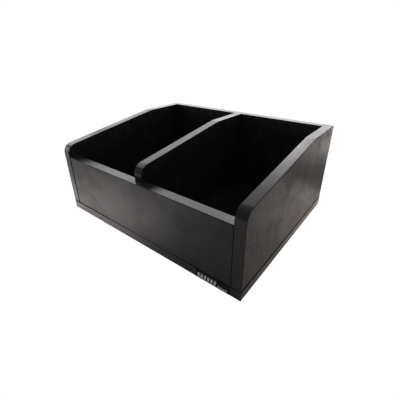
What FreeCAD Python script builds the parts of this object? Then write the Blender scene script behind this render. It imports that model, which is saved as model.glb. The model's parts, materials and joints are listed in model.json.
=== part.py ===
"""Two-bay counter box for stacked napkins, made of black laminated board with edge banding.

The uprights are two sides and a centre divider with one shared top outline: a round nose at
the front, a long slope and a level stretch at the back. A low front board and a full-height
back board stand between the sides, and everything stands on a base board.

The divider slides down into a groove in the front board and one in the back board. Dowels join
the front and back boards to the sides, and countersunk connector screws come up through the
base board. Each bare board edge that shows carries a glued edge band.

Frame: X runs across the box, -Y is the front and +Z is up. The origin is on the counter, in the
middle of the footprint. Every part is one STEP file in parts/, in millimetres.
"""

import FreeCAD
import Part

import math
import os

Vec = FreeCAD.Vector

# Overall sizes
WIDTH = 440.0  # outside, from side to side
DEPTH = 355.0  # outside, from front to back
BODY_HEIGHT = 186.0  # base underside to the level tops
FRONT_HEIGHT = 126.0  # base underside to the top of the front board

# Outline of the sides and the divider
NOSE_RISE = 23.0  # front board's top to where the slope would meet the front plane
NOSE_RADIUS = 20.0
LEVEL_TOP = 115.0  # level stretch, from the back

# Boards and bands
BOARD = 18.0
BAND = 1.0
BAND_ROUND = 0.6  # rounding of a band's outer edges
HOUSING = 5.0  # how far the divider stands in the front and back boards
GROOVE_PLAY = 0.1  # on both faces and at the end of the divider

# Dowels in the corner joints
DOWEL_RADIUS = 4.0
DOWEL_LENGTH = 35.0
DOWEL_IN_SIDE = 12.0  # the part of a dowel in the side, and the rest is in the board's end
DOWEL_EDGE = 27.0  # dowel axis to the lower or upper edge of the joint
DOWEL_PLAY = 0.05  # on the radius
DOWEL_END_PLAY = 1.0  # glue space past each end
DOWEL_CHAMFER = 1.0
DOWEL_FLUTES = 16
FLUTE_DEPTH = 0.25

# Connector screws, up through the base
SCREW_RADIUS = 3.5  # shank and thread crest
SCREW_CORE = 2.5  # thread root
SCREW_LENGTH = 50.0
SCREW_TIP = 4.0  # length of the tapered end
TIP_RADIUS = 1.2
THREAD_PITCH = 3.0
THREAD_CREST = 0.3  # width of a crest
THREAD_FLANK = 0.6  # length along the screw of a crest's sloping side
HEAD_RADIUS = 5.0
HEAD_RIM = 0.8  # height of the head's straight rim
SOCKET_ACROSS = 4.0  # hexagon socket, across its flats
SOCKET_DEPTH = 3.0
SCREW_PLAY = 0.05  # on the radius
SCREW_END_PLAY = 1.0
SCREW_INSET = 50.0  # outermost screws of an upright to the box's front and back

# Feet
FOOT_HEIGHT = 3.0
FOOT_RADIUS = 11.0
FOOT_DRAFT = 1.5  # how much smaller the radius is where the foot meets the counter
FOOT_ROUND = 0.6
FOOT_INSET = 28.0  # foot centre to the box's outside

# Blank name plate on the front edge of the base
PLATE_LENGTH = 68.0
PLATE_THICKNESS = 0.4
PLATE_CORNER = 0.8

# Places worked out from the sizes above
SIDE_X = WIDTH / 2
INNER_X = SIDE_X - BOARD
FRONT_Y = -DEPTH / 2
BACK_Y = DEPTH / 2
FRONT_INNER_Y = FRONT_Y + BOARD
BACK_INNER_Y = BACK_Y - BOARD
UNDER_Z = FOOT_HEIGHT
FLOOR_Z = UNDER_Z + BOARD
TOP_Z = UNDER_Z + BODY_HEIGHT
FRONT_TOP_Z = UNDER_Z + FRONT_HEIGHT
NOSE_Z = FRONT_TOP_Z + NOSE_RISE
DIVIDER_FRONT_Y = FRONT_INNER_Y - HOUSING
DIVIDER_BACK_Y = BACK_INNER_Y + HOUSING
BAY_CENTRE_X = (INNER_X + BOARD / 2) / 2
SLOPE = math.atan2(TOP_Z - NOSE_Z, DEPTH - LEVEL_TOP)

SAME = 1e-4  # lengths and places closer than this are the same


def block(low, high):
    """A box between two opposite corners."""
    size = [h - l for l, h in zip(low, high)]
    return Part.makeBox(*size, Vec(*low))


def prism(edges, direction):
    """The solid that a closed outline of edges sweeps along a direction."""
    return Part.Face(Part.Wire(edges)).extrude(direction)


def turned(points, base, axis):
    """The solid of revolution of (radius, height) points, standing on base along axis."""
    corners = [Vec(r, 0, h) for r, h in points]
    outline = Part.makePolygon(corners + corners[:1])
    solid = Part.Face(outline).revolve(Vec(0, 0, 0), Vec(0, 0, 1), 360)
    solid.Placement = FreeCAD.Placement(base, FreeCAD.Rotation(Vec(0, 0, 1), axis))
    return solid


def rounded(solid, radius, picks):
    """The solid with the straight and curved edges that picks(edge) accepts rounded."""
    return solid.makeFillet(radius, [e for e in solid.Edges if picks(e)])


def spans(edge, axis):
    """The lowest and highest value of an edge along X, Y or Z."""
    box = edge.BoundBox
    return {"x": (box.XMin, box.XMax), "y": (box.YMin, box.YMax), "z": (box.ZMin, box.ZMax)}[axis]


def lies_at(edge, axis, value):
    """Whether the whole edge lies in the plane where X, Y or Z has this value."""
    return all(abs(end - value) < SAME for end in spans(edge, axis))


def is_level(edge):
    """Whether the edge keeps one height."""
    low, high = spans(edge, "z")
    return high - low < SAME


# ---------------------------------------------------------------- uprights


def upright(low_x, front_y, back_y, inset):
    """A side or the divider, moved inwards by inset on its front, nose, slope and level top."""
    nose_y = front_y + NOSE_RADIUS
    nose_z = NOSE_Z + math.tan(SLOPE) * (nose_y - FRONT_Y) - NOSE_RADIUS / math.cos(SLOPE)
    radius = NOSE_RADIUS - inset
    kink_rise = TOP_Z - NOSE_Z + inset / math.cos(SLOPE) - inset
    kink_y = FRONT_Y + kink_rise / math.tan(SLOPE)

    def nose(angle):
        return Vec(low_x, nose_y + radius * math.cos(angle), nose_z + radius * math.sin(angle))

    slope_start = math.pi / 2 + SLOPE
    foot = Vec(low_x, front_y + inset, FLOOR_Z)
    kink = Vec(low_x, kink_y, TOP_Z - inset)
    top_back = Vec(low_x, back_y, TOP_Z - inset)
    foot_back = Vec(low_x, back_y, FLOOR_Z)
    arc = Part.Arc(nose(math.pi), nose((math.pi + slope_start) / 2), nose(slope_start))
    corners = [nose(slope_start), kink, top_back, foot_back, foot, nose(math.pi)]
    lines = [Part.LineSegment(a, b).toShape() for a, b in zip(corners, corners[1:])]
    return prism([arc.toShape()] + lines, Vec(BOARD, 0, 0))


def top_band(low_x, front_y, back_y):
    """The strip glued round an upright's front, nose, slope and level top."""
    outer = upright(low_x, front_y, back_y, 0)
    halfway = upright(low_x, front_y, back_y, BAND / 2)
    strip = outer.cut(upright(low_x, front_y, back_y, BAND)).Solids[0]

    def is_outer_corner(edge):
        if lies_at(edge, "z", FLOOR_Z) or lies_at(edge, "y", back_y):
            return False
        middle = edge.valueAt((edge.FirstParameter + edge.LastParameter) / 2)
        on_a_face = lies_at(edge, "x", low_x) or lies_at(edge, "x", low_x + BOARD)
        return on_a_face and not halfway.isInside(middle, SAME, True)

    return rounded(strip, BAND_ROUND, is_outer_corner)


def side(name, low_x, inner_x, direction):
    """One side with its bands. direction points from the bay into the side."""
    panel = upright(low_x, FRONT_Y, BACK_Y - BAND, BAND)
    for hole in corner_dowel_holes(inner_x, direction) + screw_holes(upright_spots(low_x + BOARD / 2)):
        panel = panel.cut(hole)
    rear = block((low_x, BACK_Y - BAND, FLOOR_Z), (low_x + BOARD, BACK_Y, TOP_Z - BAND))
    rear = rounded(rear, BAND_ROUND, lambda e: lies_at(e, "y", BACK_Y) and not is_level(e))
    return {
        name + "_side_panel": panel,
        name + "_side_top_band": top_band(low_x, FRONT_Y, BACK_Y),
        name + "_side_rear_band": rear,
    }


def divider():
    """The centre divider, whose ends stand in the grooves, and its band."""
    low_x = -BOARD / 2
    panel = upright(low_x, DIVIDER_FRONT_Y, DIVIDER_BACK_Y, BAND)
    for hole in screw_holes(upright_spots(0)):
        panel = panel.cut(hole)
    return {
        "centre_divider": panel,
        "divider_top_band": top_band(low_x, DIVIDER_FRONT_Y, DIVIDER_BACK_Y),
    }


def groove(inner_y, direction):
    """The slot that holds one end of the divider. direction is 1 for the back and -1 for the front."""
    half = BOARD / 2 + GROOVE_PLAY
    deep = inner_y + direction * (HOUSING + GROOVE_PLAY)
    low_y, high_y = sorted((inner_y, deep))
    return block((-half, low_y, FLOOR_Z), (half, high_y, TOP_Z))


# ---------------------------------------------------------------- front and back boards


def cross_board(name, low_y, top_z, inner_y, direction):
    """The front or back board between the sides, its top band and the divider's groove in both."""
    high_y = low_y + BOARD
    slot = groove(inner_y, direction)
    board = block((-INNER_X, low_y, FLOOR_Z), (INNER_X, high_y, top_z - BAND)).cut(slot)
    centre_y = low_y + BOARD / 2
    for hole in screw_holes(cross_spots(centre_y)):
        board = board.cut(hole)
    for side_x, outward in ((-INNER_X, -1), (INNER_X, 1)):
        for hole in dowel_row(side_x, outward, centre_y, top_z, hole=True):
            board = board.cut(hole)
    band = block((-INNER_X, low_y, top_z - BAND), (INNER_X, high_y, top_z))
    band = rounded(band, BAND_ROUND, lambda e: lies_at(e, "z", top_z)
                   and (lies_at(e, "y", low_y) or lies_at(e, "y", high_y)))
    return {name + "_board": board, name + "_board_top_band": band.cut(slot)}


# ---------------------------------------------------------------- dowels


def dowel(inner_x, outward, y, z, hole):
    """One fluted dowel across a corner joint, or the hole that it needs in both boards."""
    if hole:
        start, length = -DOWEL_END_PLAY, DOWEL_LENGTH + 2 * DOWEL_END_PLAY
    else:
        start, length = 0, DOWEL_LENGTH
    near_x = inner_x - outward * (DOWEL_LENGTH - DOWEL_IN_SIDE - start)
    base, axis = Vec(near_x, y, z), Vec(outward, 0, 0)
    if hole:
        return Part.makeCylinder(DOWEL_RADIUS + DOWEL_PLAY, length, base, axis)
    crests = []
    for step in range(2 * DOWEL_FLUTES):
        angle = math.pi * step / DOWEL_FLUTES
        radius = DOWEL_RADIUS - FLUTE_DEPTH * (step % 2)
        crests.append(Vec(near_x, y + radius * math.cos(angle), z + radius * math.sin(angle)))
    fluted = Part.Face(Part.makePolygon(crests + crests[:1])).extrude(axis * length)
    tip = DOWEL_RADIUS - DOWEL_CHAMFER
    chamfered = [(0, 0), (tip, 0), (DOWEL_RADIUS, DOWEL_CHAMFER),
                 (DOWEL_RADIUS, length - DOWEL_CHAMFER), (tip, length), (0, length)]
    return fluted.common(turned(chamfered, base, axis))


def dowel_row(inner_x, outward, y, top_z, hole=False):
    """The dowels, or their holes, of one corner joint whose boards meet from the floor to top_z."""
    heights = (FLOOR_Z + DOWEL_EDGE, top_z - DOWEL_EDGE)
    return [dowel(inner_x, outward, y, z, hole) for z in heights]


def corner_dowel_holes(inner_x, outward):
    """All the dowel holes in one side."""
    front = dowel_row(inner_x, outward, FRONT_Y + BOARD / 2, FRONT_TOP_Z, hole=True)
    back = dowel_row(inner_x, outward, BACK_Y - BOARD / 2, TOP_Z, hole=True)
    return front + back


# ---------------------------------------------------------------- screws


def upright_spots(x):
    """Where the screws of a side or the divider stand."""
    return [(x, y) for y in (FRONT_Y + SCREW_INSET, 0, BACK_Y - SCREW_INSET)]


def cross_spots(y):
    """Where the screws of the front or back board stand, one in the middle of each bay."""
    return [(x, y) for x in (-BAY_CENTRE_X, BAY_CENTRE_X)]


def screw(x, y):
    """A countersunk connector screw. Its thread is a row of rings."""
    cone = HEAD_RADIUS - SCREW_RADIUS
    shoulder = SCREW_LENGTH - SCREW_TIP
    points = [(0, 0), (HEAD_RADIUS, 0), (HEAD_RADIUS, HEAD_RIM), (SCREW_RADIUS, HEAD_RIM + cone)]
    for ring in range(int((shoulder - BOARD) / THREAD_PITCH)):
        crest_end = BOARD + ring * THREAD_PITCH
        next_crest = crest_end + THREAD_PITCH - THREAD_CREST
        points += [(SCREW_RADIUS, crest_end), (SCREW_CORE, crest_end + THREAD_FLANK)]
        points += [(SCREW_CORE, next_crest - THREAD_FLANK), (SCREW_RADIUS, next_crest)]
    crest_end = next_crest + THREAD_CREST
    points += [(SCREW_RADIUS, crest_end), (SCREW_CORE, crest_end + THREAD_FLANK)]
    points += [(SCREW_CORE, shoulder), (TIP_RADIUS, SCREW_LENGTH), (0, SCREW_LENGTH)]
    body = turned(points, Vec(x, y, UNDER_Z), Vec(0, 0, 1))
    corner = SOCKET_ACROSS / math.sqrt(3)
    angles = [math.pi * step / 3 for step in range(7)]
    hexagon = [Vec(x + corner * math.cos(a), y + corner * math.sin(a), UNDER_Z) for a in angles]
    return body.cut(Part.Face(Part.makePolygon(hexagon)).extrude(Vec(0, 0, SOCKET_DEPTH)))


def screw_holes(spots):
    """Countersunk through the base and blind into the board above it."""
    cone = HEAD_RADIUS - SCREW_RADIUS
    rim, bore = HEAD_RADIUS + SCREW_PLAY, SCREW_RADIUS + SCREW_PLAY
    end = SCREW_LENGTH + SCREW_END_PLAY
    points = [(0, 0), (rim, 0), (rim, HEAD_RIM), (bore, HEAD_RIM + cone), (bore, end), (0, end)]
    return [turned(points, Vec(x, y, UNDER_Z), Vec(0, 0, 1)) for x, y in spots]


def screw_groups():
    """Where each board's screws stand, by the name of their node."""
    return {
        "left_side_screws": upright_spots(-SIDE_X + BOARD / 2),
        "right_side_screws": upright_spots(SIDE_X - BOARD / 2),
        "divider_screws": upright_spots(0),
        "front_board_screws": cross_spots(FRONT_Y + BOARD / 2),
        "back_board_screws": cross_spots(BACK_Y - BOARD / 2),
    }


# ---------------------------------------------------------------- base, feet and plate


def base():
    """The base board with its countersunk holes, and the four bands round its edge."""
    core = block((-SIDE_X + BAND, FRONT_Y + BAND, UNDER_Z), (SIDE_X - BAND, BACK_Y - BAND, FLOOR_Z))
    for spots in screw_groups().values():
        for hole in screw_holes(spots):
            core = core.cut(hole)
    parts = {"base_board": core}
    for name, low_y, face_y in (("front", FRONT_Y, FRONT_Y), ("rear", BACK_Y - BAND, BACK_Y)):
        band = block((-SIDE_X, low_y, UNDER_Z), (SIDE_X, low_y + BAND, FLOOR_Z))
        parts["base_" + name + "_band"] = rounded(band, BAND_ROUND, lambda e: lies_at(e, "y", face_y))
    for name, low_x, face_x in (("left", -SIDE_X, -SIDE_X), ("right", SIDE_X - BAND, SIDE_X)):
        band = block((low_x, FRONT_Y + BAND, UNDER_Z), (low_x + BAND, BACK_Y - BAND, FLOOR_Z))
        band = rounded(band, BAND_ROUND, lambda e: lies_at(e, "x", face_x) and is_level(e))
        parts["base_" + name + "_band"] = band
    return parts


def feet():
    """Four low rubber discs under the corners of the base."""
    parts = {}
    outline = [(0, 0), (FOOT_RADIUS - FOOT_DRAFT, 0), (FOOT_RADIUS, FOOT_HEIGHT), (0, FOOT_HEIGHT)]
    for depth_name, y in (("front", FRONT_Y + FOOT_INSET), ("back", BACK_Y - FOOT_INSET)):
        for side_name, x in (("left", -SIDE_X + FOOT_INSET), ("right", SIDE_X - FOOT_INSET)):
            foot = turned(outline, Vec(x, y, 0), Vec(0, 0, 1))
            foot = rounded(foot, FOOT_ROUND, lambda e: lies_at(e, "z", 0) and len(e.Vertexes) == 1)
            parts["foot_" + depth_name + "_" + side_name] = foot
    return parts


def name_plate():
    """The blank plate on the flat of the base's front edge, which ends in line with a joint above."""
    low = (INNER_X - PLATE_LENGTH, FRONT_Y - PLATE_THICKNESS, UNDER_Z + BAND_ROUND)
    plate = block(low, (INNER_X, FRONT_Y, FLOOR_Z - BAND_ROUND))

    def is_corner(edge):
        front, back = spans(edge, "y")
        return back - front > SAME

    return rounded(plate, PLATE_CORNER, is_corner)


def all_parts():
    """Every node's name and shape."""
    parts = {}
    parts.update(base())
    parts.update(side("left", -SIDE_X, -INNER_X, -1))
    parts.update(side("right", INNER_X, INNER_X, 1))
    parts.update(divider())
    parts.update(cross_board("front", FRONT_Y, FRONT_TOP_Z, FRONT_INNER_Y, -1))
    parts.update(cross_board("back", BACK_INNER_Y, TOP_Z, BACK_INNER_Y, 1))
    for end, y, top_z in (("front", FRONT_Y + BOARD / 2, FRONT_TOP_Z), ("back", BACK_Y - BOARD / 2, TOP_Z)):
        for side_name, inner_x, outward in (("left", -INNER_X, -1), ("right", INNER_X, 1)):
            parts[end + "_" + side_name + "_dowels"] = dowel_row(inner_x, outward, y, top_z)
    for name, spots in screw_groups().items():
        parts[name] = [screw(x, y) for x, y in spots]
    parts.update(feet())
    parts["name_plate"] = name_plate()
    return parts


def write(parts):
    """Writes each node as a STEP file, after checking that it is made of sound solids."""
    os.makedirs("parts", exist_ok=True)
    for name, shape in parts.items():
        solids = [s for piece in (shape if isinstance(shape, list) else [shape]) for s in piece.Solids]
        assert solids and all(s.isValid() and s.Volume > 0 for s in solids), name
        whole = solids[0] if len(solids) == 1 else Part.makeCompound(solids)
        whole.exportStep(os.path.join("parts", name + ".step"))
    print(len(parts), "nodes written")


write(all_parts())
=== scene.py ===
import json
import math

import bmesh
import bpy
from mathutils import Euler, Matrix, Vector


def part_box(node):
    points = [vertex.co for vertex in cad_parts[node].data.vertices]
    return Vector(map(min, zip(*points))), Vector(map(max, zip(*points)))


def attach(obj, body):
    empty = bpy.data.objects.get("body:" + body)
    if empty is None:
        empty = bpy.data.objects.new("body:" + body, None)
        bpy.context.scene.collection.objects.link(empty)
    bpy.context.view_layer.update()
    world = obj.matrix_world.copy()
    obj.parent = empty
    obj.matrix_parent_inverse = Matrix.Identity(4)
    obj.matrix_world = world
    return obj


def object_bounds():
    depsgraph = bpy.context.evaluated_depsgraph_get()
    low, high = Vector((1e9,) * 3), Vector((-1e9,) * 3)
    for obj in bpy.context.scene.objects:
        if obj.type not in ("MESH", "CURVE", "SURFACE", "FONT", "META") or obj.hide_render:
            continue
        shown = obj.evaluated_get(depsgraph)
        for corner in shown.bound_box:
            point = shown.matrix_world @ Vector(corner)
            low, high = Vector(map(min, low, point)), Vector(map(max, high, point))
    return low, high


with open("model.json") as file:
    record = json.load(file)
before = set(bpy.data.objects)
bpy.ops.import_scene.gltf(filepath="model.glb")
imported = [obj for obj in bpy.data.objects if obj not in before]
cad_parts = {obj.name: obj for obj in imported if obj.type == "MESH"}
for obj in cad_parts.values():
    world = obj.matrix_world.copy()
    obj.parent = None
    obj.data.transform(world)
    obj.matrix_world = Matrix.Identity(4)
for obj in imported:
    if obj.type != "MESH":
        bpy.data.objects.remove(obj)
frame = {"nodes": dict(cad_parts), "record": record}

CAD_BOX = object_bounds()
MM = 0.001

# ---------------------------------------------------------------- places taken from the frame

LOW = Vector(CAD_BOX[0])
HIGH = Vector(CAD_BOX[1])
PLATE_LOW, PLATE_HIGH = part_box("name_plate")
SIDE_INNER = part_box("right_side_panel")[0].x     # the inner face of the right side
SIDE_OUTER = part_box("right_side_panel")[1].x
JOINT_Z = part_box("base_board")[1].z              # the joint between the base and the boards above it

# ---------------------------------------------------------------- the painted shade lines at the joints

BASE_JOINT_LEFT = 1.2 * MM                       # half widths: on the front's left and right
BASE_JOINT_RIGHT = 0.2 * MM
BASE_JOINT_SIDE = 1.5 * MM                       # half width on the two sides
BASE_JOINT_DROP = 0.4 * MM                       # how far the line's middle lies under the joint
CORNER_JOINT_LEFT = 1.4 * MM                     # the painted shade line at the left corner joint is wider
CORNER_JOINT_RIGHT = 0.1 * MM
JOINT_FADE = 1.0 * MM                            # how softly the lines end
# the painted shade in the joints: black, with no gloss
JOINT_SHADE_BLACK = (0.004, 0.0035, 0.003, 1.0)

# ---------------------------------------------------------------- colours and gloss of the boards

GRAIN_ALONG = {"x": (0.03, 1.0, 1.0), "z": (1.0, 1.0, 0.03)}      # grain drawn out along that axis
LAMINATE_DARK = (0.0095, 0.0091, 0.0089)
LAMINATE_LIGHT = (0.0235, 0.0223, 0.0218)
LAMINATE_SMUDGED = (0.0060, 0.0058, 0.0058)      # where hands have rubbed it
LAMINATE_ROUGHNESS = (0.375, 0.435)              # lowest and highest, before patches and pores
BAND_DARK = (0.0095, 0.0095, 0.0096)
BAND_LIGHT = (0.0140, 0.0139, 0.0140)
BAND_ROUGHNESS = (0.23, 0.28)


# ---------------------------------------------------------------- a small kit for shader nodes

class Nodes:
    """Adds nodes to one material or world, and links them."""

    def __init__(self, tree):
        self.tree = tree
        tree.nodes.clear()

    def add(self, kind, **settings):
        """A node of that kind. Settings that name an input set or link it, others set the node."""
        node = self.tree.nodes.new(kind)
        for name, value in settings.items():
            if name.startswith("in_"):
                key = name[3:]
                self.feed(node.inputs[int(key) if key.isdigit() else key.replace("_", " ")], value)
            else:
                setattr(node, name, value)
        return node

    def feed(self, socket, value):
        if isinstance(value, bpy.types.NodeSocket):
            self.tree.links.new(value, socket)
        else:
            socket.default_value = value

    def maths(self, operation, *values):
        node = self.add("ShaderNodeMath", operation=operation)
        for socket, value in zip(node.inputs, values):
            self.feed(socket, value)
        return node.outputs[0]

    def sum(self, a, b):
        return self.maths("ADD", a, b)

    def less(self, a, b):
        return self.maths("SUBTRACT", a, b)

    def times(self, a, b):
        return self.maths("MULTIPLY", a, b)

    def larger(self, a, b):
        return self.maths("MAXIMUM", a, b)

    def size(self, a):
        return self.maths("ABSOLUTE", a)

    def fade(self, value, start, end, low=0.0, high=1.0):
        """Goes smoothly from low at start to high at end."""
        node = self.add("ShaderNodeMapRange", interpolation_type="SMOOTHSTEP", in_Value=value,
                        in_1=start, in_2=end, in_3=low, in_4=high)
        return node.outputs[0]

    def point(self):
        """The point of the surface in the row frame."""
        return self.add("ShaderNodeTexCoord").outputs["Object"]

    def place(self):
        """The same point, as x, y and z."""
        split = self.add("ShaderNodeSeparateXYZ", in_0=self.point())
        return split.outputs[0], split.outputs[1], split.outputs[2]

    def stretched(self, scale):
        """The point with each axis multiplied. A texture is drawn out along the axes with low numbers."""
        node = self.add("ShaderNodeVectorMath", operation="MULTIPLY", in_0=self.point(), in_1=scale)
        return node.outputs[0]

    def noise(self, vector, scale, detail=2.0, rough=0.5, swirl=0.0):
        """Smooth noise from about 0 to 1, with that many blotches per metre."""
        node = self.add("ShaderNodeTexNoise", in_Vector=vector, in_Scale=scale, in_Detail=detail,
                        in_Roughness=rough, in_Distortion=swirl)
        return node.outputs["Fac"]

    def colours(self, value, low, high):
        """A colour that goes from low to high as value goes from 0 to 1."""
        node = self.add("ShaderNodeMix", data_type="RGBA")
        self.feed(node.inputs[0], value)
        self.feed(node.inputs[6], low if isinstance(low, bpy.types.NodeSocket) else (*low, 1.0))
        self.feed(node.inputs[7], high if isinstance(high, bpy.types.NodeSocket) else (*high, 1.0))
        return node.outputs[2]

    def bump(self, height, depth, strength=1.0, under=None):
        """A normal from a height of 0 to 1 that stands for that many metres, over the one under it."""
        node = self.add("ShaderNodeBump", in_Height=height, in_Distance=depth, in_Strength=strength)
        if under is not None:
            self.feed(node.inputs["Normal"], under)
        return node.outputs[0]


def new_material(name):
    material = bpy.data.materials.new(name)
    material.use_nodes = True
    return material, Nodes(material.node_tree)


def finish_surface(nodes, colour, roughness, normal, specular=0.5, metallic=0.0, shade_lines=None):
    """Joins a Principled surface to the output, with a matte black painted shade where the shade mask is
    1.
    """
    surface = nodes.add("ShaderNodeBsdfPrincipled", in_Base_Color=colour, in_Roughness=roughness,
                        in_Normal=normal)
    surface.inputs["Specular IOR Level"].default_value = specular
    surface.inputs["Metallic"].default_value = metallic
    shown = surface.outputs[0]
    if shade_lines is not None:
        black = nodes.add("ShaderNodeBsdfDiffuse", in_Color=JOINT_SHADE_BLACK)
        mix = nodes.add("ShaderNodeMixShader", in_0=shade_lines, in_1=shown, in_2=black.outputs[0])
        shown = mix.outputs[0]
    nodes.add("ShaderNodeOutputMaterial", in_Surface=shown)


# ---------------------------------------------------------------- materials of the box


def joint_shade_lines(nodes):
    """1 on the painted shade lines where the boards meet: all round above the base, and up the front
    corners.
    """
    x, y, z = nodes.place()
    on_side = nodes.fade(nodes.size(x), SIDE_OUTER - 1.0 * MM, SIDE_OUTER - 0.3 * MM)
    in_front = nodes.fade(x, -0.18, 0.05, BASE_JOINT_LEFT, BASE_JOINT_RIGHT)
    base_half = nodes.larger(in_front, nodes.times(on_side, BASE_JOINT_SIDE))
    from_base = nodes.less(nodes.size(nodes.less(z, JOINT_Z - BASE_JOINT_DROP)), base_half)
    above_base = nodes.fade(from_base, 0.0, JOINT_FADE, 1.0, 0.0)
    corner_half = nodes.fade(x, -0.1, 0.1, CORNER_JOINT_LEFT, CORNER_JOINT_RIGHT)
    corner_at = nodes.fade(x, -0.1, 0.1, SIDE_INNER - 1.0 * MM, SIDE_INNER)
    from_side = nodes.less(nodes.size(nodes.less(nodes.size(x), corner_at)), corner_half)
    beside = nodes.fade(from_side, 0.0, JOINT_FADE, 1.0, 0.0)
    on_front = nodes.fade(y, LOW.y + 2.0 * MM, LOW.y + 1.0 * MM)
    over_base = nodes.fade(z, JOINT_Z - 1.0 * MM, JOINT_Z)
    return nodes.larger(above_base, nodes.times(beside, nodes.times(on_front, over_base)))


def laminate(name, along):
    """Black melamine on particle board: satin, cloudy and smudged, with a fine pressed wood grain."""
    material, nodes = new_material(name)
    grain = nodes.noise(nodes.stretched(GRAIN_ALONG[along]), 700.0, 3.0, 0.62)
    fibres = nodes.noise(nodes.stretched(GRAIN_ALONG[along]), 190.0, 2.0, 0.5)
    streaks = nodes.sum(nodes.times(grain, 0.5), nodes.times(fibres, 0.5))
    clouds = nodes.noise(nodes.point(), 34.0, 4.0, 0.6)
    smudges = nodes.noise(nodes.stretched((1.0, 1.0, 1.4)), 18.0, 3.5, 0.55, 0.6)
    mottle = nodes.noise(nodes.point(), 105.0, 4.0, 0.65)
    orange_peel = nodes.noise(nodes.point(), 1400.0, 1.0, 0.5)
    fine_tone = nodes.sum(nodes.times(mottle, 0.5), nodes.times(fibres, 0.2))
    tone = nodes.sum(nodes.times(clouds, 0.3), fine_tone)
    colour = nodes.colours(nodes.fade(tone, 0.38, 0.62), LAMINATE_DARK, LAMINATE_LIGHT)
    colour = nodes.colours(nodes.fade(smudges, 0.44, 0.66, 0.0, 0.6), colour, LAMINATE_SMUDGED)
    satin = nodes.fade(clouds, 0.35, 0.65, *LAMINATE_ROUGHNESS)
    rubbed = nodes.fade(smudges, 0.46, 0.68, 0.0, 0.08)
    pores = nodes.fade(streaks, 0.35, 0.65, -0.018, 0.018)
    patches = nodes.fade(mottle, 0.38, 0.62, -0.032, 0.032)
    roughness = nodes.sum(nodes.sum(satin, patches), nodes.sum(rubbed, pores))
    relief = nodes.bump(clouds, 0.20 * MM, 0.5)
    relief = nodes.bump(streaks, 0.06 * MM, 0.4, relief)
    relief = nodes.bump(orange_peel, 0.02 * MM, 0.4, relief)
    # painted shade along the joints between the boards
    finish_surface(nodes, colour, roughness, relief, shade_lines=joint_shade_lines(nodes))
    return material


def edge_band(name, seam_axis):
    """Black plastic edge band: smooth, with hair scratches along it and a painted shade line beside the
    board.
    The painted shade line is on the narrow strips that face along seam_axis."""
    material, nodes = new_material(name)
    waves = nodes.noise(nodes.point(), 60.0, 1.0, 0.5)
    clouds = nodes.noise(nodes.point(), 35.0, 2.0, 0.5)
    scratches = nodes.noise(nodes.stretched((1.0, 0.02, 0.05)), 1500.0, 2.0, 0.7)
    hair = nodes.fade(scratches, 0.60, 0.72)
    colour = nodes.colours(clouds, BAND_DARK, BAND_LIGHT)
    roughness = nodes.sum(nodes.fade(clouds, 0.3, 0.7, *BAND_ROUGHNESS), nodes.times(hair, 0.05))
    relief = nodes.bump(waves, 0.03 * MM, 0.1)
    relief = nodes.bump(hair, 0.01 * MM, 0.15, relief)
    facing = nodes.add("ShaderNodeSeparateXYZ", in_0=nodes.add("ShaderNodeTexCoord").outputs["Normal"])
    sideways = nodes.size(facing.outputs["XYZ".index(seam_axis.upper())])
    # painted shade on the band's narrow strip and rounding beside the board
    band_seam_shade = nodes.fade(sideways, 0.50, 0.80)
    finish_surface(nodes, colour, roughness, relief, shade_lines=nodes.larger(band_seam_shade, joint_shade_lines(nodes)))
    return material


def beech(name):
    """Raw fluted beech."""
    material, nodes = new_material(name)
    rings = nodes.noise(nodes.stretched((1.0, 0.1, 1.0)), 700.0, 3.0, 0.6)
    flecks = nodes.fade(nodes.noise(nodes.stretched((1.0, 0.2, 1.0)), 2200.0, 1.0, 0.5), 0.58, 0.66)
    colour = nodes.colours(rings, (0.42, 0.25, 0.12), (0.66, 0.45, 0.25))
    colour = nodes.colours(flecks, colour, (0.30, 0.17, 0.08))
    relief = nodes.bump(rings, 0.10 * MM, 0.5)
    finish_surface(nodes, colour, nodes.fade(rings, 0.2, 0.8, 0.6, 0.75), relief)
    return material


def zinc(name):
    """Zinc-plated steel with turning marks."""
    material, nodes = new_material(name)
    marks = nodes.noise(nodes.stretched((1.0, 1.0, 12.0)), 900.0, 2.0, 0.6)
    stains = nodes.noise(nodes.point(), 120.0, 3.0, 0.6)
    colour = nodes.colours(stains, (0.45, 0.45, 0.43), (0.66, 0.66, 0.64))
    relief = nodes.bump(marks, 0.04 * MM, 0.5)
    finish_surface(nodes, colour, nodes.fade(stains, 0.3, 0.7, 0.26, 0.42), relief, metallic=1.0)
    return material


def rubber(name):
    """Black moulded rubber, matte and a little dusty."""
    material, nodes = new_material(name)
    dust = nodes.noise(nodes.point(), 160.0, 4.0, 0.6)
    pores = nodes.noise(nodes.point(), 2600.0, 1.0, 0.5)
    colour = nodes.colours(nodes.fade(dust, 0.45, 0.8), (0.012, 0.012, 0.012), (0.05, 0.048, 0.045))
    relief = nodes.bump(pores, 0.06 * MM, 0.5)
    finish_surface(nodes, colour, nodes.fade(dust, 0.2, 0.8, 0.72, 0.9), relief)
    return material


def plate_film(name):
    """Black printed film, matte."""
    material, nodes = new_material(name)
    clouds = nodes.noise(nodes.point(), 90.0, 2.0, 0.5)
    pebbles = nodes.noise(nodes.point(), 3000.0, 1.0, 0.5)
    colour = nodes.colours(clouds, (0.003, 0.003, 0.003), (0.006, 0.006, 0.006))
    relief = nodes.bump(pebbles, 0.02 * MM, 0.4)
    finish_surface(nodes, colour, nodes.fade(clouds, 0.3, 0.7, 0.34, 0.42), relief, specular=0.2)
    return material


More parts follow.
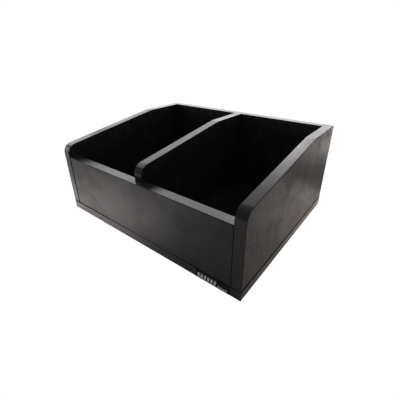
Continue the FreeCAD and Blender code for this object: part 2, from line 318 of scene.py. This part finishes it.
def pale_print(name):
    """Pale ink, slightly rubbed."""
    material, nodes = new_material(name)
    rub = nodes.noise(nodes.point(), 900.0, 3.0, 0.6)
    colour = nodes.colours(nodes.fade(rub, 0.35, 0.62), (0.62, 0.62, 0.62), (0.90, 0.90, 0.89))
    relief = nodes.bump(rub, 0.02 * MM, 0.4)
    finish_surface(nodes, colour, nodes.fade(rub, 0.3, 0.7, 0.5, 0.6), relief)
    return material


def band_seam_axis(node):
    """The axis that the narrow glued strips of a band face."""
    if node.startswith("base_"):
        return "z"
    return "y" if "front_board" in node or "back_board" in node else "x"


def paint_nodes():
    """Gives every CAD node the material of its slot, with the grain along its board."""
    boards = {axis: laminate("laminate_along_" + axis, axis) for axis in GRAIN_ALONG}
    bands = {axis: edge_band("edge_band_seam_" + axis, axis) for axis in "xyz"}
    others = {"dowel": beech("beech_dowel"), "screw": zinc("zinc_screw"),
              "foot": rubber("rubber_foot"), "name_plate": plate_film("plate_film")}
    upright_grain = ("left_side_panel", "right_side_panel", "centre_divider")
    for part in frame["record"]["subparts"]:
        node = part["node"]
        slot = part["material_slot"]
        if slot == "laminate":
            material = boards["z" if node in upright_grain else "x"]
        elif slot == "edge_band":
            material = bands[band_seam_axis(node)]
        else:
            material = others[slot]
        mesh = frame["nodes"][node].data
        mesh.materials.clear()
        mesh.materials.append(material)


# ---------------------------------------------------------------- the plate's plain mark

MARK_THICK = 0.15 * MM


def dash(mesh, left, low, width, height, lean):
    """One bar on the plate's front. Its top is moved right by lean. All sizes are in millimetres, from
    the plate's left end and middle height."""
    start = PLATE_LOW.x + left * MM
    bottom = (PLATE_LOW.z + PLATE_HIGH.z) / 2 + low * MM
    outline = [(0.0, 0.0), (width, 0.0), (width + lean, height), (lean, height)]
    corners = [(start + x * MM, bottom + z * MM) for x, z in outline]
    front = [mesh.verts.new((x, PLATE_LOW.y - MARK_THICK, z)) for x, z in corners]
    back = [mesh.verts.new((x, PLATE_LOW.y, z)) for x, z in corners]
    mesh.faces.new(front)
    mesh.faces.new(list(reversed(back)))
    for i in range(4):
        j = (i + 1) % 4
        mesh.faces.new((front[j], front[i], back[i], back[j]))


def plate_mark():
    """A thin line at the plate's left end, a row of slanted bars and a row of smaller ones beside it."""
    mesh = bmesh.new()
    large_start, large_pitch = 6.0, 6.3
    small_start, small_pitch = 45.5, 4.4
    dash(mesh, 0.4, -6.0, width=0.3, height=11.0, lean=0.0)
    for i in range(6):
        dash(mesh, large_start + i * large_pitch, -6.8, width=4.0, height=9.4, lean=1.8)
    for i in range(4):
        dash(mesh, small_start + i * small_pitch, -6.6, width=2.9, height=3.6, lean=0.6)
    data = bpy.data.meshes.new("plate_mark")
    bmesh.ops.recalc_face_normals(mesh, faces=mesh.faces)
    mesh.to_mesh(data)
    mesh.free()
    mark = bpy.data.objects.new("plate_mark", data)
    bpy.context.scene.collection.objects.link(mark)
    data.materials.append(pale_print("pale_print"))
    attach(mark, "root")


# ---------------------------------------------------------------- floor, lights and camera

def floor_material():
    """Pale paper. The camera sees it evenly white, and the box mirrors it as it is really lit."""
    material, nodes = new_material("studio_paper")
    paper = nodes.noise(nodes.point(), 300.0, 2.0, 0.5)
    colour = nodes.colours(paper, (0.80, 0.785, 0.775), (0.84, 0.825, 0.815))
    lit = nodes.add("ShaderNodeBsdfDiffuse", in_Color=colour)
    even = nodes.add("ShaderNodeEmission", in_Color=(1.0, 1.0, 1.0, 1.0), in_Strength=1.0)
    seen = nodes.add("ShaderNodeLightPath").outputs["Is Camera Ray"]
    shown = nodes.add("ShaderNodeMixShader", in_0=seen, in_1=lit.outputs[0], in_2=even.outputs[0])
    nodes.add("ShaderNodeOutputMaterial", in_Surface=shown.outputs[0])
    return material


def studio_floor():
    data = bpy.data.meshes.new("studio_floor")
    reach = 6.0
    top = -0.2 * MM      # just under the feet, so that no two faces lie in one plane
    corners = [(-reach, -reach, top), (reach, -reach, top), (reach, reach, top), (-reach, reach, top)]
    data.from_pydata(corners, [], [(0, 1, 2, 3)])
    floor = bpy.data.objects.new("studio_floor", data)
    bpy.context.scene.collection.objects.link(floor)
    data.materials.append(floor_material())


def area_light(name, place, aim, width, height, radiance, colour, mirrored, spread=180.0):
    """An area light at place that faces aim, with that radiance at its face."""
    light = bpy.data.lights.new(name, "AREA")
    light.shape = "RECTANGLE"
    light.size = width
    light.size_y = height
    light.energy = radiance * math.pi * width * height
    light.color = colour
    light.spread = math.radians(spread)
    lamp = bpy.data.objects.new(name, light)
    lamp.location = place
    lamp.rotation_euler = (Vector(place) - Vector(aim)).to_track_quat("Z", "Y").to_euler()
    lamp.visible_camera = False
    lamp.visible_glossy = mirrored
    bpy.context.scene.collection.objects.link(lamp)


def softbox(name, azimuth, elevation, distance, width, height, radiance, colour):
    """A softbox that the box mirrors. Azimuth 0 is behind it (+Y) and 90 is on its right (+X)."""
    a = math.radians(azimuth)
    e = math.radians(elevation)
    towards = Vector((math.sin(a) * math.cos(e), math.cos(a) * math.cos(e), math.sin(e)))
    area_light(name, towards * distance, (0.0, 0.0, 0.0), width, height, radiance, colour, True)


def floor_panel(name, x, y, height, width, depth, radiance, colour):
    """A small panel close above the floor that faces straight down and leaves a soft pool of light."""
    area_light(name, (x, y, height), (x, y, 0.0), width, depth, radiance, colour, False, 120.0)


def studio_lights():
    """Softboxes: azimuth, elevation, distance, width, height, radiance and colour.
    Floor panels: x, y, height, width, depth, radiance and colour."""
    softbox("back_softbox", -33.6, 26.5, 2.4, 2.71, 1.6, 1.85, (1.0, 0.97, 0.98))
    softbox("left_softbox", -95.0, 45.0, 2.4, 1.6, 0.8, 1.3, (1.0, 0.99, 1.0))
    softbox("left_low_softbox", -119.0, 16.0, 1.0, 0.27, 0.34, 1.9, (1.0, 1.0, 1.0))
    softbox("left_middle_softbox", -86.0, 29.0, 2.4, 1.25, 0.55, 2.9, (1.0, 1.0, 1.0))
    softbox("rim_softbox", -19.0, 34.5, 2.3, 0.45, 0.35, 6.5, (1.0, 0.93, 0.95))
    floor_panel("front_left_panel", -0.160, -0.232, 0.12, 0.29, 0.08, 3.0, (1.0, 0.93, 0.95))
    floor_panel("front_corner_panel", -0.28, -0.23, 0.12, 0.18, 0.08, 1.2, (1.0, 0.82, 0.78))
    floor_panel("right_panel", 0.262, 0.13, 0.13, 0.07, 0.30, 1.5, (1.0, 0.86, 0.76))
    floor_panel("right_front_panel", 0.245, -0.11, 0.06, 0.03, 0.10, 0.5, (1.0, 0.86, 0.76))
    floor_panel("far_right_panel", 0.40, 0.85, 0.50, 0.30, 0.30, 6.5, (1.0, 0.92, 0.84))
    centre = (0.0, 0.0, 0.0)
    area_light("overhead", (0.0, 0.0, 2.2), centre, 1.6, 1.6, 0.5, (1.0, 1.0, 1.0), False)
    area_light("bay_light", (0.0, 0.0, 0.7), centre, 0.28, 0.20, 0.45, (0.82, 0.94, 1.0), False, 25.0)


def dark_card():
    """A dark card on the floor behind the box, which only its mirror image shows: painted shade, a darker
    stretch of floor for the box to mirror.
    """
    material, nodes = new_material("dark_card")
    fibres = nodes.noise(nodes.point(), 400.0, 2.0, 0.5)
    colour = nodes.colours(fibres, (0.205, 0.19, 0.19), (0.255, 0.24, 0.24))
    finish_surface(nodes, colour, 0.9, nodes.bump(fibres, 0.10 * MM, 0.3))
    near = HIGH.y + 0.08
    far = HIGH.y + 0.28
    left, right = -0.6, 1.6
    lift = 2.0 * MM
    corners = [(left, near, lift), (right, near, lift), (right, far, lift), (left, far, lift)]
    data = bpy.data.meshes.new("dark_card")
    data.from_pydata(corners, [], [(0, 1, 2, 3)])
    card = bpy.data.objects.new("dark_card", data)
    card.visible_camera = False
    bpy.context.scene.collection.objects.link(card)
    data.materials.append(material)


def studio_world():
    """White to the camera, and otherwise a dim room that is darker in front (-Y) than behind."""
    world = bpy.data.worlds.new("studio")
    bpy.context.scene.world = world
    world.use_nodes = True
    nodes = Nodes(world.node_tree)
    towards = nodes.add("ShaderNodeTexCoord").outputs["Generated"]
    split = nodes.add("ShaderNodeSeparateXYZ", in_0=towards)
    glow = nodes.fade(split.outputs[1], -0.5, 0.7, 0.16, 0.40)
    dim = nodes.add("ShaderNodeBackground", in_Color=(1.0, 1.0, 1.0, 1.0), in_Strength=glow)
    white = nodes.add("ShaderNodeBackground", in_Color=(1.0, 1.0, 1.0, 1.0), in_Strength=1.0)
    seen = nodes.add("ShaderNodeLightPath").outputs["Is Camera Ray"]
    shown = nodes.add("ShaderNodeMixShader", in_0=seen, in_1=dim.outputs[0], in_2=white.outputs[0])
    nodes.add("ShaderNodeOutputWorld", in_Surface=shown.outputs[0])


def studio_camera():
    """In front of the box, on its right and above it, turned left and down. Lens in millimetres."""
    data = bpy.data.cameras.new("camera")
    data.sensor_width = 36.0
    data.lens = 25.004
    data.shift_x = -0.00564
    data.shift_y = -0.04933
    camera = bpy.data.objects.new("camera", data)
    camera.location = (0.35308, -0.43786, 0.33705)
    tilt, roll, turn = 64.329, 0.143, 37.835
    camera.rotation_euler = Euler([math.radians(a) for a in (tilt, roll, turn)])
    bpy.context.scene.collection.objects.link(camera)
    bpy.context.scene.camera = camera
    bpy.context.scene.view_settings.view_transform = "Standard"


paint_nodes()
plate_mark()
studio_floor()
dark_card()
studio_lights()
studio_world()
studio_camera()
